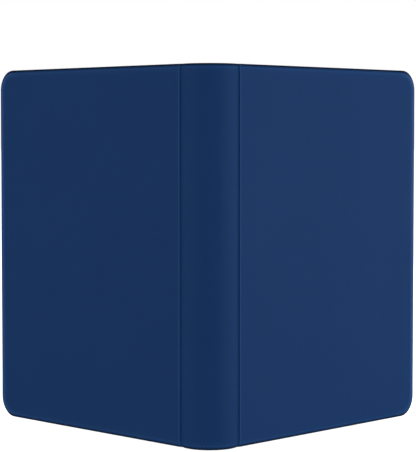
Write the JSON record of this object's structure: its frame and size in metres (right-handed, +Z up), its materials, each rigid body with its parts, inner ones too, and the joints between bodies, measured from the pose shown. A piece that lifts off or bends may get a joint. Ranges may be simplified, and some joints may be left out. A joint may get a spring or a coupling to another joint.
{
  "type": "trading card binder",
  "caption": "Padded artificial-leather card binder with stitched covers, a rounded spine and fixed clear pocket pages, standing open on its lower edge.",
  "frame": {"origin": "on the floor, in the middle of the lower face of the spine wall", "axes": "+Z up along the spine, +X across the spine towards the front cover, +Y from the spine into the binder"},
  "size_m": [0.3968, 0.2563, 0.33],
  "materials": {
    "cover_leather": "fine-grained navy artificial leather, satin",
    "foam": "thin soft padding, out of sight",
    "board": "grey board, out of sight",
    "lining": "matte black artificial leather",
    "thread": "bonded polyester sewing thread",
    "binding": "matte black plastic strip",
    "page_sheet": "fine matte black sheet",
    "pocket_film": "clear glossy film"
  },
  "bodies": {
    "spine": {"spine_skin": "cover_leather", "spine_board": "board", "spine_lining": "lining", "spine_stitching": "thread", "page_binding_strip": "binding"},
    "front_cover": {"front_cover_skin": "cover_leather", "front_cover_padding": "foam", "front_cover_board": "board", "front_cover_lining": "lining", "front_cover_stitching": "thread"},
    "back_cover": {"back_cover_skin": "cover_leather", "back_cover_padding": "foam", "back_cover_board": "board", "back_cover_lining": "lining", "back_cover_stitching": "thread"},
    "page_01": {"page_01_sheet": "page_sheet", "page_01_films": "pocket_film"},
    "page_02": {"page_02_sheet": "page_sheet", "page_02_films": "pocket_film"},
    "page_03": {"page_03_sheet": "page_sheet", "page_03_films": "pocket_film"},
    "page_04": {"page_04_sheet": "page_sheet", "page_04_films": "pocket_film"},
    "page_05": {"page_05_sheet": "page_sheet", "page_05_films": "pocket_film"},
    "page_06": {"page_06_sheet": "page_sheet", "page_06_films": "pocket_film"},
    "page_07": {"page_07_sheet": "page_sheet", "page_07_films": "pocket_film"},
    "page_08": {"page_08_sheet": "page_sheet", "page_08_films": "pocket_film"},
    "page_09": {"page_09_sheet": "page_sheet", "page_09_films": "pocket_film"},
    "page_10": {"page_10_sheet": "page_sheet", "page_10_films": "pocket_film"},
    "page_11": {"page_11_sheet": "page_sheet", "page_11_films": "pocket_film"},
    "page_12": {"page_12_sheet": "page_sheet", "page_12_films": "pocket_film"},
    "page_13": {"page_13_sheet": "page_sheet", "page_13_films": "pocket_film"},
    "page_14": {"page_14_sheet": "page_sheet", "page_14_films": "pocket_film"},
    "page_15": {"page_15_sheet": "page_sheet", "page_15_films": "pocket_film"},
    "page_16": {"page_16_sheet": "page_sheet", "page_16_films": "pocket_film"},
    "page_17": {"page_17_sheet": "page_sheet", "page_17_films": "pocket_film"},
    "page_18": {"page_18_sheet": "page_sheet", "page_18_films": "pocket_film"},
    "page_19": {"page_19_sheet": "page_sheet", "page_19_films": "pocket_film"},
    "page_20": {"page_20_sheet": "page_sheet", "page_20_films": "pocket_film"}
  },
  "joints": [
    {"name": "front_cover_fold", "type": "hinge", "parent": "spine", "child": "front_cover", "pos_m": [0.025, 0.0194, 0], "axis": [0, 0, 1], "range_deg": [-48, 42]},
    {"name": "back_cover_fold", "type": "hinge", "parent": "spine", "child": "back_cover", "pos_m": [-0.025, 0.0194, 0], "axis": [0, 0, -1], "range_deg": [-48, 42]},
    {"name": "page_01_turn", "type": "hinge", "parent": "spine", "child": "page_01", "pos_m": [0.01995, 0.02105, 0], "axis": [0, 0, 1], "range_deg": [-49.76, 130.24]},
    {"name": "page_02_turn", "type": "hinge", "parent": "spine", "child": "page_02", "pos_m": [0.01785, 0.02105, 0], "axis": [0, 0, 1], "range_deg": [-54.8, 125.2]},
    {"name": "page_03_turn", "type": "hinge", "parent": "spine", "child": "page_03", "pos_m": [0.01575, 0.02105, 0], "axis": [0, 0, 1], "range_deg": [-58.1, 121.9]},
    {"name": "page_04_turn", "type": "hinge", "parent": "spine", "child": "page_04", "pos_m": [0.01365, 0.02105, 0], "axis": [0, 0, 1], "range_deg": [-62.79, 117.21]},
    {"name": "page_05_turn", "type": "hinge", "parent": "spine", "child": "page_05", "pos_m": [0.01155, 0.02105, 0], "axis": [0, 0, 1], "range_deg": [-67.17, 112.83]},
    {"name": "page_06_turn", "type": "hinge", "parent": "spine", "child": "page_06", "pos_m": [0.00945, 0.02105, 0], "axis": [0, 0, 1], "range_deg": [-70.61, 109.39]},
    {"name": "page_07_turn", "type": "hinge", "parent": "spine", "child": "page_07", "pos_m": [0.00735, 0.02105, 0], "axis": [0, 0, 1], "range_deg": [-75.75, 104.25]},
    {"name": "page_08_turn", "type": "hinge", "parent": "spine", "child": "page_08", "pos_m": [0.00525, 0.02105, 0], "axis": [0, 0, 1], "range_deg": [-79.33, 100.67]},
    {"name": "page_09_turn", "type": "hinge", "parent": "spine", "child": "page_09", "pos_m": [0.00315, 0.02105, 0], "axis": [0, 0, 1], "range_deg": [-83.51, 96.49]},
    {"name": "page_10_turn", "type": "hinge", "parent": "spine", "child": "page_10", "pos_m": [0.00105, 0.02105, 0], "axis": [0, 0, 1], "range_deg": [-88.36, 91.64]},
    {"name": "page_11_turn", "type": "hinge", "parent": "spine", "child": "page_11", "pos_m": [-0.00105, 0.02105, 0], "axis": [0, 0, -1], "range_deg": [-88.38, 91.62]},
    {"name": "page_12_turn", "type": "hinge", "parent": "spine", "child": "page_12", "pos_m": [-0.00315, 0.02105, 0], "axis": [0, 0, -1], "range_deg": [-83.45, 96.55]},
    {"name": "page_13_turn", "type": "hinge", "parent": "spine", "child": "page_13", "pos_m": [-0.00525, 0.02105, 0], "axis": [0, 0, -1], "range_deg": [-79.39, 100.61]},
    {"name": "page_14_turn", "type": "hinge", "parent": "spine", "child": "page_14", "pos_m": [-0.00735, 0.02105, 0], "axis": [0, 0, -1], "range_deg": [-75.71, 104.29]},
    {"name": "page_15_turn", "type": "hinge", "parent": "spine", "child": "page_15", "pos_m": [-0.00945, 0.02105, 0], "axis": [0, 0, -1], "range_deg": [-70.6, 109.4]},
    {"name": "page_16_turn", "type": "hinge", "parent": "spine", "child": "page_16", "pos_m": [-0.01155, 0.02105, 0], "axis": [0, 0, -1], "range_deg": [-67.22, 112.78]},
    {"name": "page_17_turn", "type": "hinge", "parent": "spine", "child": "page_17", "pos_m": [-0.01365, 0.02105, 0], "axis": [0, 0, -1], "range_deg": [-62.72, 117.28]},
    {"name": "page_18_turn", "type": "hinge", "parent": "spine", "child": "page_18", "pos_m": [-0.01575, 0.02105, 0], "axis": [0, 0, -1], "range_deg": [-58.14, 121.86]},
    {"name": "page_19_turn", "type": "hinge", "parent": "spine", "child": "page_19", "pos_m": [-0.01785, 0.02105, 0], "axis": [0, 0, -1], "range_deg": [-54.8, 125.2]},
    {"name": "page_20_turn", "type": "hinge", "parent": "spine", "child": "page_20", "pos_m": [-0.01995, 0.02105, 0], "axis": [0, 0, -1], "range_deg": [-49.71, 130.29]}
  ],
  "couplings": [
    {"joint": "page_01_turn", "follows": "front_cover_fold", "ratio": 0.95811},
    {"joint": "page_02_turn", "follows": "front_cover_fold", "ratio": 0.83805},
    {"joint": "page_03_turn", "follows": "front_cover_fold", "ratio": 0.75952},
    {"joint": "page_04_turn", "follows": "front_cover_fold", "ratio": 0.64791},
    {"joint": "page_05_turn", "follows": "front_cover_fold", "ratio": 0.54356},
    {"joint": "page_06_turn", "follows": "front_cover_fold", "ratio": 0.46159},
    {"joint": "page_07_turn", "follows": "front_cover_fold", "ratio": 0.33935},
    {"joint": "page_08_turn", "follows": "front_cover_fold", "ratio": 0.25412},
    {"joint": "page_09_turn", "follows": "front_cover_fold", "ratio": 0.15457},
    {"joint": "page_10_turn", "follows": "front_cover_fold", "ratio": 0.039133},
    {"joint": "page_11_turn", "follows": "back_cover_fold", "ratio": 0.038549},
    {"joint": "page_12_turn", "follows": "back_cover_fold", "ratio": 0.15602},
    {"joint": "page_13_turn", "follows": "back_cover_fold", "ratio": 0.25257},
    {"joint": "page_14_turn", "follows": "back_cover_fold", "ratio": 0.34019},
    {"joint": "page_15_turn", "follows": "back_cover_fold", "ratio": 0.4619},
    {"joint": "page_16_turn", "follows": "back_cover_fold", "ratio": 0.54226},
    {"joint": "page_17_turn", "follows": "back_cover_fold", "ratio": 0.64951},
    {"joint": "page_18_turn", "follows": "back_cover_fold", "ratio": 0.75846},
    {"joint": "page_19_turn", "follows": "back_cover_fold", "ratio": 0.83801},
    {"joint": "page_20_turn", "follows": "back_cover_fold", "ratio": 0.95922}
  ]
}
